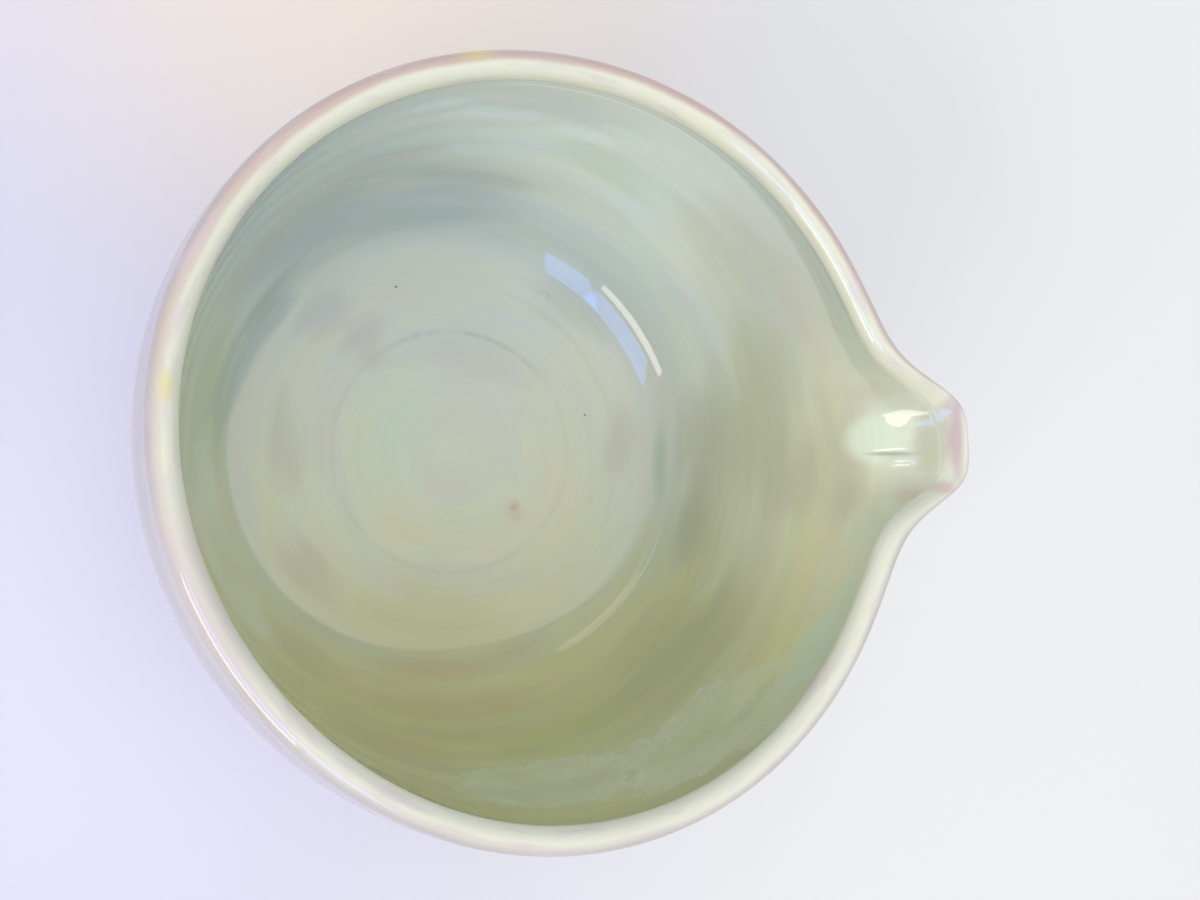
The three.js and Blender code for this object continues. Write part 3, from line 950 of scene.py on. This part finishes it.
# The table.
# A plain pale surface of painted board, almost white, with painted light on it: lavender where the window
# light falls on it from the left, warm where lamp light falls behind the bowl, and lighter beside the bowl at
# the left.
table_reach = 3.0
table_corners = [(-table_reach, -table_reach, 0), (table_reach, -table_reach, 0)]
table_corners += [(table_reach, table_reach, 0), (-table_reach, table_reach, 0)]
table_mesh = bpy.data.meshes.new("table")
table_mesh.from_pydata(table_corners, [], [(0, 1, 2, 3)])
table = bpy.data.objects.new("table", table_mesh)
bpy.context.scene.collection.objects.link(table)

# Matt paint, a little rough, with no pattern of its own
paint = new_material("matt_paint")
table_place = add(paint, "TexCoord").outputs["Object"]
# Painted light: the table turns lavender towards the window at the left
window_light_share = add(paint, "SeparateXYZ", {0: table_place})
window_light_share = add(
    paint,
    "MapRange",
    {"Value": window_light_share, "From Min": 0.1, "From Max": -0.13},
    interpolation_type="SMOOTHSTEP",
)
colour = add(paint, "Mix", {"Factor": window_light_share, 6: linear("#f1f2f2"), 7: linear("#dcddf7")}, data_type="RGBA")
# Painted light: a warm patch of lamp light behind the bowl, and a lighter patch left of the bowl laid over
# the bowl's shadow
painted_light_tints = (
    ((-0.02, 0.12, 0), 0.12, "#f4eadf", 0.90),
    ((-0.065, -0.025, 0), 0.085, "#e9e9ff", 0.85),
)
for middle, reach, tint, strength in painted_light_tints:
    share = add(paint, "VectorMath", {0: table_place, 1: middle}, operation="DISTANCE")
    share = add(
        paint,
        "MapRange",
        {"Value": share, "From Min": reach, "From Max": 0.02, "To Max": strength},
        interpolation_type="SMOOTHSTEP",
    )
    colour = add(paint, "Mix", {"Factor": share, 6: colour, 7: linear(tint)}, data_type="RGBA")
paint_shader = add(paint, "BsdfPrincipled", {"Base Color": colour, "Roughness": 0.7})
add(paint, "OutputMaterial", {"Surface": paint_shader})
table_mesh.materials.append(paint)

# The light.
# An overcast sky is three times as bright overhead as at the horizon, and so is this softly lit room.
# A bay of blue panes over a sunlit one is in front to the left, and a dim window is far behind.
zenith = 1.21
backdrop_white = 0.9
world = bpy.data.worlds.new("studio")
bpy.context.scene.world = world
world.use_nodes = True
sky_height = add(world, "SeparateXYZ", {0: add(world, "TexCoord").outputs["Generated"]}).outputs[2]
overcast = add(world, "MapRange", {"Value": sky_height, "To Min": zenith / 3, "To Max": zenith})
seen = add(world, "LightPath").outputs["Is Camera Ray"]
strength = add(world, "Mix", {"Factor": seen, "A": overcast, "B": backdrop_white})
background = world.node_tree.nodes["Background"]
background.inputs["Color"].default_value = linear("#f4f5fa")
world.node_tree.links.new(strength.outputs[0], background.inputs["Strength"])
window_distance = 1.5
window_aim = Vector((0, 0, 0.04))


def window(name, direction, height, wide, tall, brightness, colour):
    """A window as the bowl sees it: degrees round and up to its middle, and degrees across it."""
    lamp = bpy.data.lights.new(name, "AREA")
    lamp.shape = "RECTANGLE"
    lamp.size = 2 * window_distance * np.tan(np.radians(wide / 2))
    lamp.size_y = 2 * window_distance * np.tan(np.radians(tall / 2))
    lamp.energy = brightness * np.pi * lamp.size * lamp.size_y
    lamp.color = linear(colour)[:3]
    lamp_object = bpy.data.objects.new(name, lamp)
    bpy.context.scene.collection.objects.link(lamp_object)
    round_about, upward = np.radians(direction), np.radians(height)
    level = np.cos(upward)
    way = Vector((level * np.cos(round_about), level * np.sin(round_about), np.sin(upward)))
    lamp_object.location = way * window_distance + window_aim
    lamp_object.rotation_euler = way.to_track_quat("Z", "Y").to_euler()
    lamp_object.visible_camera = False
    return lamp_object


# The blue panes show in the gloss alone, and tint neither the table nor the colours in the glaze
sky_pane = window("sky_pane", -136, 52.5, 23, 20, 6.0, "#5a90ff")
sky_pane.visible_diffuse = False
tall_pane = window("tall_pane", -108, 49.5, 14, 23, 6.0, "#5a90ff")
tall_pane.visible_diffuse = False
window("sun_pane", -140, 30, 30, 16, 6.5, "#fff6e4")
window("far_window", 122, 34, 40, 4, 1.5, "#fff0dc")

# The camera.
# It looks down into the bowl from above its back left, so that the spout points to the right.
# Its place is given from the foot of the wheel's axis, in metres.
camera_data = bpy.data.cameras.new("camera")
camera_data.lens = 34.5
camera_data.sensor_width = 36
camera_data.sensor_fit = "HORIZONTAL"
camera_data.clip_start = 0.01
camera = bpy.data.objects.new("camera", camera_data)
bpy.context.scene.collection.objects.link(camera)
camera_from_axis = Vector((-0.06248, -0.011804, 0.235474))
look = Vector((0.38858, 0.04853, -0.92014)).normalized()
photo_up = Vector((0.01087, 0.99830, 0.05724))
right = look.cross(photo_up).normalized()
up = right.cross(look)
aim = Matrix((right, up, -look)).transposed().to_4x4()
camera.matrix_world = Matrix.Translation(wheel_axis + camera_from_axis) @ aim
bpy.context.scene.camera = camera
bpy.context.scene.view_settings.view_transform = "Standard"
